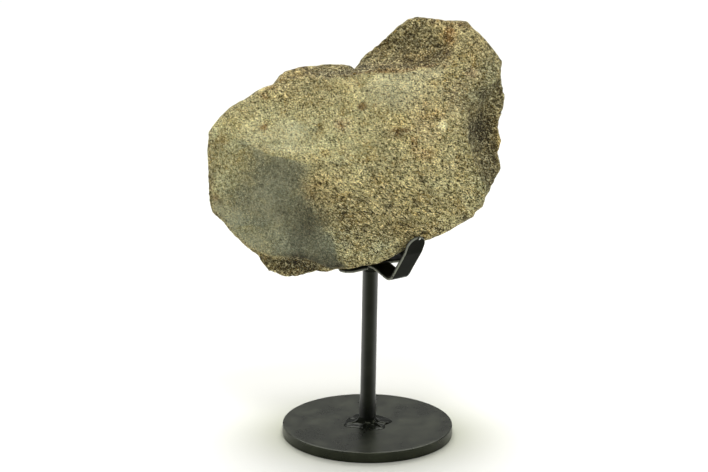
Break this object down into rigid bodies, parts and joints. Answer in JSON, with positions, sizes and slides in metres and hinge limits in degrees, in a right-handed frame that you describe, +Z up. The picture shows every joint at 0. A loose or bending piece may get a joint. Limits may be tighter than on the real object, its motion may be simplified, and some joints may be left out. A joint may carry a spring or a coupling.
{
  "type": "fossil dinosaur frill section on stand",
  "caption": "Broken chunk of fossil ceratopsian frill bone resting in a bent strip cradle on a slim post and round base, painted black.",
  "frame": {"origin": "centre of the base disc's flat underside", "axes": "+Z up along the post, -Y towards the broad front face of the bone, +X to the viewer's right"},
  "size_m": [0.1293, 0.0762, 0.185],
  "materials": {
    "fossil_bone": "matte, grainy, weathered",
    "black_paint": "satin black paint on steel",
    "weld_paint": "gloss black paint over a lumpy weld"
  },
  "bodies": {
    "root": {"frill_section": "fossil_bone", "base_disc": "black_paint", "base_weld": "weld_paint", "post": "black_paint", "top_weld": "weld_paint", "cradle_strip": "black_paint", "back_right_arm": "black_paint", "front_left_arm": "black_paint"}
  },
  "joints": []
}
